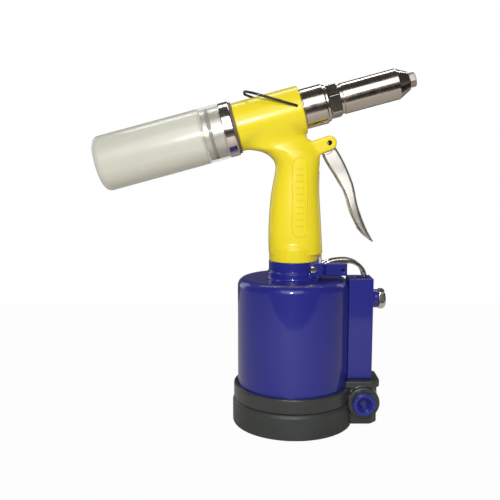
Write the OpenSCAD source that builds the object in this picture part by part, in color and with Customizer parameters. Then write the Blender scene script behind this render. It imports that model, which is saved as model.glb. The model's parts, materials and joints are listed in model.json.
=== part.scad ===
// Air-over-oil blind rivet gun: upright air cylinder, cast grip, tilted pulling head.
// Frame: millimetres, +Z up, origin on the cylinder axis at the underside of the rubber boot,
// +X towards the nose, +Y towards the far side. The barrel axis lies in the XZ plane.

/* [Barrel] */
// Tilt of the barrel above the horizontal, degrees
barrel_tilt = 15; // [13:1:16]
// Height at which the barrel axis crosses the cylinder axis
barrel_z = 276; // [274:1:278]
// Outer radius of the cast head round the barrel
head_r = 21; // [20.8:0.1:21.5]
// Bore radius of the oil chamber in the head
oil_bore_r = 16; // [15.8:0.1:16.2]
// Radius of the hollow rod of the oil piston
pull_rod_r = 8.5; // [8:0.1:8.6]
// Outer radius of the nose housing
nose_r = 13.3; // [13:0.1:13.6]
// Across flats of the hex lock nut
lock_nut_af = 26; // [25:1:27]
// Bore radius of the nosepiece, for a 4 mm mandrel
mandrel_r = 2.1; // [1.5:0.1:2.4]

/* [Air cylinder] */
// Outer radius of the air cylinder
cyl_r = 49.4; // [49:0.1:49.4]
// Bore radius of the air cylinder
cyl_bore_r = 44; // [43:0.5:45]
// Height of the cylinder's flat top
cyl_top = 131; // [130:0.5:131]
// Outer radius of the cylinder's neck
neck_r = 21.7; // [21.5:0.1:21.8]
// Height of the joint between neck and grip
neck_top = 146.5; // [146:0.5:147]
// Radius of the ram
ram_r = 7; // [6:0.5:7]
// Outer radius of the rubber boot
boot_r = 54; // [53.8:0.1:55]
// Height of the rubber boot
boot_h = 22.5; // [21:0.5:22.5]

/* [Valve] */
// Distance of the valve's axis from the cylinder axis
valve_x = 61.5; // [61.2:0.1:61.8]
// Height of the air inlet's axis
inlet_z = 111.8; // [110:0.1:112]
// Radius of the inlet's female thread
inlet_thread_r = 5.7; // [5.5:0.1:6]
// Bore radius of the valve tube
valve_bore_r = 7; // [6.8:0.1:7]

/* [Collector] */
// Outer radius of the collector bottle at its mouth
bottle_r = 24; // [23.8:0.1:24.5]
// Distance from the barrel's origin to the closed end of the bottle
bottle_end = 176; // [150:1:190]

/* [Trigger] */
// Distance of the trigger's pin ahead of the cylinder axis
trigger_x = 29.9; // [29.6:0.1:30.2]
// Height of the trigger's pin
trigger_z = 249.2; // [249:0.1:249.6]
// Radius of the trigger's pin
trigger_pin_r = 2; // [1.8:0.1:2]

/* [Hidden] */
$fn = 96;

run_gap = 0.05;          // radial clearance of a running fit
eps = 0.01;              // overrun of a cutter past the face it opens

// stations along the barrel, u, measured from the barrel's origin towards the nose
head_back = -52;
head_front = 6.5;
sleeve_front = 27;
washer_front = 29.3;
nut_front = 40;
housing_cone = 90.8;
housing_front = 101;
nose_tip = 107;
collar_front = -54;
collar_back = -63;
adapter_back = -80;
oring_u = -74;
piston_back = -28;
piston_front = -16;
rod_front = 38;
jaw_case_front = 86;
hinge_u = 1.4;           // the hanger wire's hinge, along the barrel
hinge_v = 3.5;           // and above the barrel axis

// heights on the cylinder axis
base_floor = 27;         // inside floor of the base
cap_top = 35.8;
shoulder_r = 7;          // fillet round the cylinder's top edge
roof_z = 123;            // underside of the cylinder's top wall
piston_z0 = 30;
piston_z1 = 43;
ram_top = 172;
gland_top = 167;
step_z = 152.4;          // where the grip steps in to the round neck
boss_x = 61.8;           // axis of the plug boss on the valve block
boss_z = 21.8;
boss_r = 14.2;
block_top = 40.6;
tube_top = 131.3;
tube_right = 70.2;
tube_half = 11.7;
rocker_x = 43.1;         // the rocker's pin
rocker_z = 138.8;
lug_x = 16.3;            // the bracket's screws in the neck
lug_z = 140.3;
rod_r = 1.8;
rod_slope = -0.085;      // the trigger rod leans back as it rises, x per z
arm_x = 15.7;            // round tips of the trigger's fork, which lift the rod
arm_z = 241;
arm_tip_r = 2.5;
fork_x = 24.2;           // round tips of the rocker's fork, which the rod lifts
fork_z = 140;
fork_tip_r = 2;
ear_half = 10;           // the grip's two ears lie between slot_half and ear_half
slot_half = 6.5;

yellow = "gold";
blue = [0.14, 0.16, 0.5];
black = [0.2, 0.21, 0.21];
steel = [0.74, 0.72, 0.7];
alloy = [0.8, 0.8, 0.82];
brass = [0.8, 0.65, 0.35];
rubber = [0.08, 0.08, 0.08];

// ---- helpers -------------------------------------------------------------------

// x of the trigger rod's axis at height z
function rod_x(z) = 23.2 + rod_slope * (z - step_z);

// points of an arc, from angle a0 to a1 in n steps
function arc(cx, cy, r, a0, a1, n = 8) =
    [for (i = [0 : n]) let (a = a0 + (a1 - a0) * i / n) [cx + r * cos(a), cy + r * sin(a)]];

// one point of a Catmull-Rom curve between p1 and p2
function blend_point(p0, p1, p2, p3, t) =
    0.5 * (2 * p1 + (p2 - p0) * t + (2 * p0 - 5 * p1 + 4 * p2 - p3) * t * t
        + (3 * p1 - p0 - 3 * p2 + p3) * t * t * t);

// a smooth curve through the points, n steps between each pair
function curve(pts, n = 4) = let (last = len(pts) - 1) concat(
    [for (i = [0 : last - 1], k = [0 : n - 1])
        blend_point(pts[max(i - 1, 0)], pts[i], pts[i + 1], pts[min(i + 2, last)], k / n)],
    [pts[last]]);

// barrel frame: local +Z runs along the barrel to the nose, local -X points up
module along_barrel(u = 0) {
    translate([0, 0, barrel_z]) rotate([0, 90 - barrel_tilt, 0]) translate([0, 0, u]) children();
}

// a ring turned round Z, from z0 to z1, with a chamfer c on both outer edges
module ring(r_in, r_out, z0, z1, c = 0) {
    rotate_extrude() polygon([[r_in, z0], [r_out - c, z0], [r_out, z0 + c],
        [r_out, z1 - c], [r_out - c, z1], [r_in, z1]]);
}

// a straight rod along Y, centred on the plane Y = mid
module cross_pin(x, z, r, half, mid = 0) {
    translate([x, mid + half, z]) rotate([90, 0, 0]) cylinder(r = r, h = 2 * half);
}

// a flat outline in XZ given a thickness along Y, from y0 to y1
module side_plate(y0, y1) {
    translate([0, y1, 0]) rotate([90, 0, 0]) linear_extrude(y1 - y0) children();
}

// the same outline on both sides, from |Y| = y0 to |Y| = y1
module both_sides(y0, y1) {
    side_plate(y0, y1) children();
    side_plate(-y1, -y0) children();
}

// a hexagon bar of the given flats, with its outer corners turned off at both ends
module hex_bar(af, z0, z1, turn = 0, chamfer = 1.2) {
    intersection() {
        translate([0, 0, z0]) rotate(turn) cylinder(d = af / cos(30), h = z1 - z0, $fn = 6);
        ring(0, af / cos(30) / 2 + 0.2, z0, z1, chamfer);
    }
}

// a round-wire compression spring along Z
module coil(r, wire_r, z0, z1, turns) {
    sides = 6;
    steps = 12;
    rings = turns * steps;
    rise = z1 - z0 - 2 * wire_r;
    points = [for (i = [0 : rings], k = [0 : sides - 1])
        let (a = 360 * i / steps, b = 360 * k / sides, d = r + wire_r * cos(b))
        [d * cos(a), d * sin(a), z0 + wire_r + rise * i / rings + wire_r * sin(b)]];
    walls = [for (i = [0 : rings - 1], k = [0 : sides - 1])
        let (n = (k + 1) % sides)
        each [[i * sides + k, (i + 1) * sides + k, (i + 1) * sides + n],
            [i * sides + k, (i + 1) * sides + n, i * sides + n]]];
    first = [for (k = [0 : sides - 1]) k];
    final = [for (k = [sides - 1 : -1 : 0]) rings * sides + k];
    polyhedron(points, concat([first], walls, [final]));
}

// ---- base and air cylinder -----------------------------------------------------

// x of a block's chamfered plan outline
module block_plan(x1, half, chamfer) {
    polygon([[38, -half], [x1 - chamfer, -half], [x1, chamfer - half],
        [x1, half - chamfer], [x1 - chamfer, half], [38, half]]);
}

module rubber_boot() {
    wall = 3.8;
    floor_t = 3;
    lip = 3;
    color(rubber) difference() {
        rotate_extrude() polygon([[0, 0], [boot_r - 1, 0], [boot_r, 1], [boot_r, boot_h - lip],
            [boot_r - 1.8, boot_h], [boot_r - wall, boot_h], [boot_r - wall, floor_t], [0, floor_t]]);
        translate([44.5, -18.4, -eps]) cube([20, 36.8, boot_h + 1]);
        cross_pin(boss_x, boss_z, boss_r + 0.3, 8, -19);
    }
}

module base_casting() {
    color(black) difference() {
        union() {
            rotate_extrude() polygon([[0, 20], [45, 20], [45, 3.2], [49.8, 3.2], [49.8, 22.8],
                [52.6, 22.8], [53, 23.2], [53, cap_top - 0.8], [52.2, cap_top], [0, cap_top]]);
            translate([0, 0, 1.2]) linear_extrude(33) block_plan(75, 18, 6.5);
            translate([0, 0, 34]) linear_extrude(block_top - 34) block_plan(77, 19, 6.5);
            cross_pin(boss_x, boss_z, boss_r, 9.1, -13.1);
        }
        // socket and floor for the air cylinder
        translate([0, 0, base_floor]) cylinder(r = cyl_r + 0.05, h = 20);
        // relief under the block, over the boot's floor
        translate([37, -20, 0]) cube([7.8, 40, 3.2]);
        // valve bore, air passage to the cylinder, plug's hole
        translate([valve_x, 0, 16]) cylinder(r = valve_bore_r, h = 30);
        translate([40, 0, 23]) rotate([0, 90, 0]) cylinder(r = 2.5, h = valve_x - 40);
        translate([40, 0, 23]) cylinder(r = 2.5, h = 10);
        cross_pin(boss_x, boss_z, 8, 6, -17);
        // holes of the two long screws that hold the valve tube
        for (side = [-1, 1]) translate([67.3, side * 8.6, 0]) {
            cylinder(r = 1.6, h = 50);
            cylinder(r = 3.2, h = 5);
        }
    }
}

module floor_bumper() {
    color(rubber) ring(9, 22, base_floor, 29.5, 0.6);
}

module cylinder_gasket() {
    color(rubber) ring(cyl_bore_r + 0.4, cyl_r, base_floor, base_floor + 1);
}

module air_cylinder() {
    foot = base_floor + 1;
    ledge_r = 23;
    pad_y = 15.1;
    color(blue) difference() {
        union() {
            rotate_extrude() polygon(concat(
                [[13.05, roof_z], [cyl_bore_r, roof_z], [cyl_bore_r, foot], [cyl_r, foot]],
                arc(cyl_r - shoulder_r, cyl_top - shoulder_r, shoulder_r, 0, 90),
                [[ledge_r + 1.2, cyl_top], [ledge_r, cyl_top + 1.2], [ledge_r, 136], [neck_r, 137.3],
                    [neck_r, neck_top], [13.05, neck_top]]));
            // flats on both sides of the neck for the rocker's bracket
            translate([11, -pad_y, cyl_top - 1]) cube([9.5, 2 * pad_y, neck_top - cyl_top + 1]);
        }
        translate([0, 0, roof_z - 1]) cylinder(r = 13.05, h = 40);
        // room for the lower end of the trigger rod
        translate([19.2, -6, cyl_top]) cube([20, 12, 30]);
        for (side = [-1, 1]) cross_pin(lug_x, lug_z, 2, 4, side * 12.6);
        // flat seats of the bracket's lugs
        both_sides(pad_y, 26) translate([11.4, 133.4]) square([16, 14]);
    }
}

module ram_gland() {
    color(steel) difference() {
        rotate_extrude() polygon([[ram_r + run_gap, 118.4], [19, 118.4], [20, 119.4], [20, roof_z],
            [13, roof_z], [13, gland_top], [10, gland_top], [10, 160], [ram_r + run_gap, 160]]);
        for (a = [0, 180]) rotate(a) translate([16.5, 0, 117]) cylinder(r = 1.6, h = 4);
    }
}

module ram_seal() {
    color(rubber) ring(ram_r + 0.03, 10, 160, 165.5, 0.5);
}

module air_piston() {
    rim = cyl_bore_r - 0.3;
    color(alloy) rotate_extrude() polygon([[4, piston_z0 + 6], [14, piston_z0 + 6],
        [14, piston_z0], [22, piston_z0], [24, piston_z0 + 7], [rim - 6, piston_z0 + 7],
        [rim - 5, piston_z0], [rim, piston_z0], [rim, 34], [rim - 3, 34], [rim - 3, 39],
        [rim, 39], [rim, piston_z1], [4, piston_z1]]);
}

module piston_seal() {
    color(rubber) ring(cyl_bore_r - 3.3, cyl_bore_r - run_gap, 34, 39, 0.6);
}

module ram_rod() {
    color(steel) {
        ring(0, ram_r, piston_z1, ram_top, 1);
        translate([0, 0, piston_z0 + 1]) cylinder(r = 4, h = 13);
    }
}

module piston_nut() {
    color(steel) difference() {
        hex_bar(13, piston_z0 + 1, piston_z0 + 6, 0, 0.8);
        translate([0, 0, piston_z0]) cylinder(r = 4, h = 10);
    }
}

// ---- grip and head -------------------------------------------------------------

// height, back, front and half width of the grip's oval sections
grip_stations = [
    [152.4, -21.9, 25.6, 19.2], [170, -22.2, 24.6, 18.8], [190, -21.4, 23.3, 18],
    [207, -19.7, 22.2, 17.2], [222, -17, 22.2, 16.8], [230, -16.3, 22.8, 16.8],
    [236, -19.4, 23, 16.8], [241, -26.5, 21.5, 16.4], [245, -38, 19, 15.8],
    [251, -40, 15.4, 15], [256, -38, 10.4, 14], [263, -36, 9, 12]];

// an oval ring of points at one station, squarer than an ellipse
function oval(s, count, power = 0.86) = let (cx = (s[1] + s[2]) / 2, rx = (s[2] - s[1]) / 2)
    [for (i = [0 : count - 1]) let (a = 360 * i / count, c = cos(a), d = sin(a))
        [cx + rx * sign(c) * pow(abs(c), power), s[3] * sign(d) * pow(abs(d), power), s[0]]];

module grip_skin() {
    count = 40;
    rows = curve(grip_stations, 3);
    last = len(rows) - 1;
    points = [for (s = rows) each oval(s, count)];
    walls = [for (i = [0 : last - 1], k = [0 : count - 1])
        let (n = (k + 1) % count)
        each [[i * count + k, (i + 1) * count + n, i * count + n],
            [i * count + k, (i + 1) * count + k, (i + 1) * count + n]]];
    polyhedron(points, concat([[for (k = [0 : count - 1]) k]], walls,
        [[for (k = [count - 1 : -1 : 0]) last * count + k]]));
}

// side outline of the two ears that carry the trigger's pin
module ear_outline() {
    r = 6.2;
    polygon(concat([[8, 236], [23, 236], [24.2, 238.6]],
        arc(trigger_x, trigger_z, r, -70, 100, 12),
        [[22.3, 252.6], [16.5, 251.2], [11.5, 253.2], [9.6, 258.5], [2, 258.5]]));
}

module grip_frame() {
    color(yellow) difference() {
        union() {
            grip_skin();
            translate([0, 0, neck_top]) cylinder(r = neck_r - 0.3, h = 10);
            along_barrel() ring(0, head_r, head_back, head_front, 0.6);
            both_sides(slot_half - 2, ear_half) ear_outline();
        }
        // oil chamber in the head
        along_barrel(head_back - 1) cylinder(r = oil_bore_r, h = head_front - head_back + 2);
        // gland thread, oil bore, and the narrower way up to the head
        translate([0, 0, neck_top - 1]) cylinder(r = 13.05, h = gland_top - neck_top + 1);
        translate([0, 0, neck_top]) cylinder(r = 8.5, h = 240 - neck_top);
        translate([-4, 0, 230]) cylinder(r = 3.5, h = 32);
        // slot for the trigger, and the hole the trigger rod slides in
        translate([10.8, -slot_half, 232]) cube([40, 2 * slot_half, 30]);
        translate([20.5, -slot_half, 225]) cube([20, 2 * slot_half, 20]);
        translate([rod_x(120), 0, 120]) rotate([0, atan(rod_slope), 0]) cylinder(r = 2.1, h = 118);
        cross_pin(trigger_x, trigger_z, trigger_pin_r, 20);
        // blind holes of the hanger wire
        along_barrel(hinge_u) for (side = [-1, 1]) translate([-hinge_v, side * 24, 0])
            rotate([90 * side, 0, 0]) cylinder(r = 1.15, h = 6);
    }
}

module head_sleeve() {
    guide_r = pull_rod_r + run_gap;
    color(steel) along_barrel() rotate_extrude() polygon([[guide_r, -3], [14.6, -3], [14.6, 0],
        [13, 0], [13, 2.6], [oil_bore_r, 2.6], [oil_bore_r, head_front], [16.6, head_front],
        [16.6, 7.3], [17.2, 7.9], [17.2, sleeve_front - 1], [16.2, sleeve_front],
        [12.5, sleeve_front], [12.5, 20], [10.8, 20], [10.8, 10], [guide_r, 10]]);
}

module sleeve_seal() {
    color(rubber) along_barrel() ring(13, oil_bore_r, 0, 2.6, 0.5);
}

module sleeve_washer() {
    color(steel) along_barrel() ring(12.5, 15.8, sleeve_front, washer_front, 0.4);
}

module lock_nut() {
    color(steel) along_barrel() difference() {
        hex_bar(lock_nut_af, washer_front, nut_front, 15, 1.4);
        translate([0, 0, washer_front - 1]) cylinder(r = 12.5, h = 20);
    }
}

module nose_housing() {
    bore = 10.7;
    color(steel) along_barrel() rotate_extrude() polygon([[bore, 20], [12.5, 20], [12.5, 42.2],
        [nose_r - 0.6, 42.2], [nose_r, 42.8], [nose_r, housing_cone], [8, housing_front],
        [5.1, housing_front], [5.1, 92], [bore, 88]]);
}

module nosepiece() {
    color(steel) along_barrel() difference() {
        union() {
            hex_bar(12, housing_front, nose_tip, 42, 1);
            translate([0, 0, 90]) cylinder(r = 5.1, h = housing_front - 90);
        }
        translate([0, 0, 89]) cylinder(r = mandrel_r, h = 20);
        translate([0, 0, 90 - eps]) cylinder(r1 = 4, r2 = mandrel_r, h = 2);
    }
}

// ---- pulling train inside the head ---------------------------------------------

tail_r = 6;
spent_r = 4.6;           // way through for spent mandrels

module oil_piston() {
    r = oil_bore_r - run_gap;
    color(steel) along_barrel() rotate_extrude() polygon([[tail_r, piston_back], [r, piston_back],
        [r, -24.5], [r - 3, -24.5], [r - 3, -19.5], [r, -19.5], [r, piston_front],
        [pull_rod_r, piston_front], [pull_rod_r, rod_front], [spent_r, rod_front],
        [spent_r, -20], [tail_r, -20]]);
}

module oil_piston_seal() {
    color(rubber) along_barrel()
        ring(oil_bore_r - 3 - run_gap, oil_bore_r - 0.03, -24.5, -19.5, 0.5);
}

module tail_tube() {
    color(brass) along_barrel() ring(spent_r, tail_r, -84, -20);
}

module jaw_case() {
    r = 10.3;
    color(steel) along_barrel() rotate_extrude() polygon([[pull_rod_r, 30], [r - 0.8, 30],
        [r, 30.8], [r, jaw_case_front - 1], [r - 1, jaw_case_front], [4.4, jaw_case_front],
        [7.6, 70], [7.6, rod_front], [pull_rod_r, rod_front]]);
}

module jaws() {
    color(steel) along_barrel() for (a = [0, 120, 240]) rotate(a + 4)
        rotate_extrude(angle = 112) polygon([[1.9, 71], [7.1, 71], [4.75, 83], [1.9, 83]]);
}

module jaw_pusher() {
    color(steel) along_barrel() rotate_extrude() polygon([[2.6, 56], [4, 56], [4, 63.4],
        [7.4, 63.4], [7.4, 69.5], [6.8, 70.8], [2.6, 70.8]]);
}

module jaw_spring() {
    color(steel) along_barrel() coil(5.8, 0.8, rod_front + 0.1, 63.3, 7);
}

module return_spring() {
    color(steel) along_barrel() coil(10.4, 1.1, -60.9, piston_back - 0.1, 6);
}

// ---- collector -----------------------------------------------------------------

module rear_gasket() {
    color(rubber) along_barrel() ring(oil_bore_r, 22.4, collar_front, head_back, 0.3);
}

module rear_cap() {
    thread_r = oil_bore_r - run_gap;
    color(alloy) along_barrel() rotate_extrude() polygon([[tail_r + run_gap, -70], [12, -70],
        [12, collar_back], [22.9, collar_back], [23.7, collar_back + 0.8],
        [23.7, collar_front - 1.4], [22.5, collar_front], [thread_r, collar_front],
        [thread_r, -50.5], [13, -50.5], [13, -61], [tail_r + run_gap, -61]]);
}

module collector_adapter() {
    r = 21.9;
    color(alloy) along_barrel() rotate_extrude() polygon([[12, collar_back], [12, -70], [8, -70],
        [8, -76], [12.5, -76], [13.5, -70.5], [18.5, -70.5], [19, adapter_back],
        [r - 0.8, adapter_back], [r, adapter_back + 0.8], [r, oring_u - 1.6],
        [19.4, oring_u - 1.6], [19.4, oring_u + 1.6], [r, oring_u + 1.6], [r, collar_back]]);
}

module bottle_oring() {
    color(rubber) along_barrel(oring_u) rotate_extrude() translate([20.75, 0]) circle(r = 1.3, $fn = 32);
}

module collector_bottle() {
    mouth = collar_back - 0.3;
    end = -bottle_end;
    end_r = bottle_r + 0.3;     // the bottle widens a little towards its closed end
    wall = 1.8;
    corner = 6;
    color([0.85, 0.88, 0.82, 0.6]) along_barrel() rotate_extrude() polygon(concat(
        [[bottle_r - wall, mouth], [bottle_r, mouth], [end_r, end + corner]],
        arc(end_r - corner, end + corner, corner, 0, -90),
        [[0, end], [0, end + 2.4]],
        arc(end_r - corner, end + corner + 0.4, corner - 2, -90, 0)));
}

module hanger_wire() {
    wire_r = 1.1;
    half = 22.4;               // middle of each leg, from the barrel axis
    reach = 45.5;              // hinge to the middle of the closed end
    bend = 13;
    lie = 30.6;                // angle of the bail above the barrel, laid back
    color([0.12, 0.07, 0.05]) along_barrel(hinge_u) translate([-hinge_v, 0, 0])
        rotate([0, lie, 0]) for (side = [-1, 1]) {
            translate([0, side * half, bend - reach]) cylinder(r = wire_r, h = reach - bend);
            translate([0, side * half, 0]) sphere(r = wire_r, $fn = 32);
            translate([0, side * half, 0]) rotate([90 * side, 0, 0]) cylinder(r = wire_r, h = 4);
            translate([0, side * (half - bend), bend - reach]) rotate([0, 90, 0])
                rotate(side < 0 ? 270 : 0) rotate_extrude(angle = 90)
                    translate([bend, 0]) circle(r = wire_r, $fn = 32);
            translate([0, 0, -reach]) rotate([90 * side, 0, 0]) translate([0, 0, -half + bend])
                cylinder(r = wire_r, h = half - bend);
        }
}

// ---- trigger and its linkage ---------------------------------------------------

// outer edge of the trigger, top to tip, and its edge towards the grip
trigger_outer = [[35, 246.7], [43.3, 232.8], [51.3, 214.2], [55, 197.4], [58.6, 187.3],
    [64.4, 173.7], [69.9, 164.2]];
trigger_inner = [[69, 163.1], [62.1, 168.3], [55.1, 176.4], [49.8, 187.3], [46.8, 197.4],
    [43.3, 206.8], [36.1, 219.5], [30, 228.8], [25.2, 237.4], [24.2, 245]];

module trigger_outline() {
    polygon(concat(curve(trigger_outer), curve(trigger_inner)));
}

// the hollow side of the lever, one web thickness behind its outer edge
module trigger_channel() {
    web = 2.6;
    low = [for (p = curve(trigger_outer)) if (p[1] > 176 && p[1] < 243) p - [web, web * 0.4]];
    polygon(concat(low, [[40, 176], [20, 200], [20, 240]]));
}

module trigger() {
    top_half = 6.2;
    blade_half = 8;
    color(alloy) difference() {
        union() {
            side_plate(-top_half, top_half) trigger_outline();
            intersection() {
                side_plate(-blade_half, blade_half) trigger_outline();
                translate([20, -blade_half, 150]) cube([60, 2 * blade_half, 64]);
            }
            cross_pin(trigger_x, trigger_z, 5.6, top_half);
            // fork under the upper nut of the trigger rod
            for (side = [-1, 1]) {
                cross_pin(arm_x, arm_z, arm_tip_r, 1.9, side * 4.2);
                side_plate(side * 4.2 - 1.9, side * 4.2 + 1.9) polygon([[arm_x, arm_z - arm_tip_r],
                    [25, 238], [27, 254], [22, 249], [19.6, arm_z + arm_tip_r],
                    [arm_x, arm_z + arm_tip_r]]);
            }
        }
        side_plate(-4.4, 4.4) trigger_channel();
        side_plate(-6, 6) intersection() {
            trigger_channel();
            translate([20, 150]) square([60, 62]);
        }
        cross_pin(trigger_x, trigger_z, trigger_pin_r + run_gap, 10);
    }
}

module trigger_pin() {
    color(steel) cross_pin(trigger_x, trigger_z, trigger_pin_r, ear_half - 0.4);
}

// places children on the trigger rod's axis at height z
module on_rod(z) {
    translate([rod_x(z), 0, z]) rotate([0, atan(rod_slope), 0]) children();
}

upper_nut_z = arm_z + arm_tip_r + 0.4;
lower_nut_z = fork_z - fork_tip_r - 0.4;

module trigger_rod() {
    foot = lower_nut_z - 3;
    color(steel) on_rod(foot) cylinder(r = rod_r, h = upper_nut_z + 2.4 - foot);
}

module rod_nuts() {
    color(steel) {
        on_rod(upper_nut_z) difference() {
            cylinder(r = 3.4, h = 2);
            translate([0, 0, -1]) cylinder(r = rod_r, h = 5);
        }
        on_rod(lower_nut_z - 2.2) difference() {
            cylinder(r = 3.2, h = 2.2);
            translate([0, 0, -1]) cylinder(r = rod_r, h = 5);
        }
    }
}

// ---- rocker over the valve -----------------------------------------------------

module bracket_side() {
    // a lug on the neck, a joggle inwards, and a cheek beside the rocker
    polygon([[12, 15.1], [23.4, 15.1], [27, 8.2], [47, 8.2], [47, 10.2], [28.3, 10.2],
        [24.7, 17.1], [12, 17.1]]);
}

module rocker_bracket() {
    low = 133.8;
    color(blue) difference() {
        union() {
            intersection() {
                translate([0, 0, low]) linear_extrude(12.6) union() {
                    bracket_side();
                    mirror([0, 1]) bracket_side();
                }
                side_plate(-20, 20) union() {
                    translate([26.4, low]) square([20.6, 10.9]);
                    polygon(concat(arc(lug_x + 1.5, lug_z - 0.2, 6.2, 90, 270, 12),
                        [[26.6, low], [26.6, 144.7], [24, 146.3]]));
                }
            }
            translate([36, -9, low]) cube([11, 18, 1.4]);
        }
        cross_pin(rocker_x, rocker_z, 1.6, 20);
        cross_pin(lug_x, lug_z, 2, 30);
    }
}

module bracket_screws() {
    color(steel) for (side = [-1, 1]) {
        cross_pin(lug_x, lug_z, 1.95, 4.1, side * 13);
        translate([lug_x, side * 17.1, lug_z]) rotate([-90 * side, 0, 0]) rotate_extrude()
            polygon([[0, 0], [3.6, 0], [3.6, 0.6], [2.8, 1.7], [1.6, 2.1], [0, 2.1]]);
    }
}

// top edge of the rocker, from its fork to its nose over the valve stem
rocker_top = [[22.6, 142.6], [32.3, 146.9], [41, 148.4], [49.1, 148.1], [57.4, 144.9],
    [62.8, 139.6], [65, 134.6], [64.6, 133.2]];
rocker_under = [[60.6, 133.4], [60, 136.4], [57.4, 140.4], [52.2, 143.6], [47.6, 143.9],
    [46.9, 140.6]];

module rocker_lever() {
    half = 6.5;
    nose_half = 3.6;
    wall = 1.4;
    color(steel) difference() {
        union() {
            side_plate(-half, half) polygon(concat(curve(rocker_top), curve(rocker_under),
                arc(rocker_x, rocker_z, 3.2, -5, -140, 6), [[33, 141.2], [fork_x + 1, 138.1]]));
            cross_pin(fork_x, fork_z, fork_tip_r, half);
            cross_pin(62.6, 133.7, 1.3, nose_half);
        }
        // the inside of the channel, under a thin top
        side_plate(wall - half, half - wall) polygon(concat(
            [for (p = curve(rocker_top)) if (p[0] > 30 && p[0] < 59) p - [0.3, wall]],
            [[59, 130], [30, 130]]));
        // open fork round the rod
        translate([10, -2.3, 130]) cube([22, 4.6, 30]);
        // narrow nose, which goes down into the valve tube
        both_sides(nose_half, 10) translate([57, 125]) square([15, 17]);
        cross_pin(rocker_x, rocker_z, 1.6 + run_gap, 10);
    }
}

module rocker_pin() {
    color(steel) cross_pin(rocker_x, rocker_z, 1.6, 10.2);
}

// ---- valve ---------------------------------------------------------------------

tube_seal_r = 8;         // seal between the tube's foot and the valve block
tube_seal_t = 1.4;

module valve_tube() {
    corner = 1.2;
    color(blue) difference() {
        union() {
            translate([0, 0, block_top]) linear_extrude(tube_top - block_top) polygon([
                [40, -tube_half], [tube_right - corner, -tube_half],
                [tube_right, corner - tube_half], [tube_right, tube_half - corner],
                [tube_right - corner, tube_half], [40, tube_half]]);
            translate([60, 0, inlet_z]) rotate([0, 90, 0]) cylinder(r = 8.2, h = 15.6);
        }
        // saddle against the air cylinder
        translate([0, 0, 30]) cylinder(r = cyl_r + 0.1, h = 120);
        translate([valve_x, 0, 30]) cylinder(r = valve_bore_r, h = 91);
        translate([valve_x, 0, 120]) cylinder(r = 6.3, h = 20);
        translate([valve_x, 0, block_top - 1]) cylinder(r = tube_seal_r, h = tube_seal_t + 1);
        translate([valve_x, 0, inlet_z]) rotate([0, 90, 0]) cylinder(r = 7, h = 20);
        for (side = [-1, 1]) translate([67.3, side * 8.6, 30]) cylinder(r = 1.6, h = 36);
    }
}

module tube_screws() {
    color(steel) for (side = [-1, 1]) translate([67.3, side * 8.6, 0]) {
        translate([0, 0, 5]) cylinder(r = 1.6, h = 59);
        difference() {
            translate([0, 0, 2]) cylinder(r = 2.9, h = 3);
            translate([0, 0, 1]) cylinder(r = 1.5, h = 2.4, $fn = 6);
        }
    }
}

module tube_seal() {
    color(rubber) translate([valve_x, 0, 0])
        ring(valve_bore_r + run_gap, tube_seal_r, block_top, block_top + tube_seal_t);
}

module stem_gland() {
    color(brass) translate([valve_x, 0, 0])
        rotate_extrude() polygon([[2.55, 121.5], [6.3, 121.5], [6.3, 126], [2.55, 126]]);
}

// grooves of the spool's two seals
spool_grooves = [52, 86];

module valve_spool() {
    land = valve_bore_r - run_gap;
    floor_r = land - 1.6;
    low = spool_grooves[0];
    high = spool_grooves[1];
    color(brass) translate([valve_x, 0, 0]) rotate_extrude() polygon([[0, 44.5], [land, 44.5],
        [land, low], [floor_r, low], [floor_r, low + 2.4], [land, low + 2.4], [land, low + 5],
        [3.2, low + 7], [3.2, high - 5], [land, high - 3], [land, high], [floor_r, high],
        [floor_r, high + 2.4], [land, high + 2.4], [land, high + 5], [2.5, high + 7],
        [2.5, 131.5], [2, 132], [0, 132]]);
}

module spool_seals() {
    color(rubber) translate([valve_x, 0, 0]) for (z = spool_grooves)
        ring(valve_bore_r - 1.6 - run_gap, valve_bore_r - 0.03, z, z + 2.4, 0.3);
}

module valve_spring() {
    color(steel) translate([valve_x, 0, 0]) coil(5, 0.7, 16.1, 44.4, 7);
}

module inlet_bushing() {
    color(steel) translate([0, 0, inlet_z]) rotate([0, 90, 0]) difference() {
        union() {
            hex_bar(16, 75.6, 82, 12, 1.8);
            translate([0, 0, 69]) cylinder(r = 7, h = 6.6);
        }
        translate([0, 0, 71]) cylinder(r = inlet_thread_r, h = 20);
        translate([0, 0, 60]) cylinder(r = 4, h = 20);
    }
}

module valve_plug() {
    socket_r = 6.4;
    color(blue) translate([boss_x, 0, boss_z]) rotate([90, 0, 0]) difference() {
        union() {
            translate([0, 0, 11.5]) cylinder(r = 8, h = 12.2);
            ring(0, 10.3, 23.7, 27.2, 1);
        }
        translate([0, 0, 18]) rotate(20) cylinder(r = socket_r, h = 12, $fn = 6);
        translate([0, 0, 25]) cylinder(r1 = socket_r - 1, r2 = socket_r + 1.6, h = 2.4);
    }
}

module plug_seal() {
    color(rubber) translate([boss_x, 0, boss_z]) rotate([90, 0, 0]) ring(8, 10, 22.2, 23.7, 0.3);
}

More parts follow.
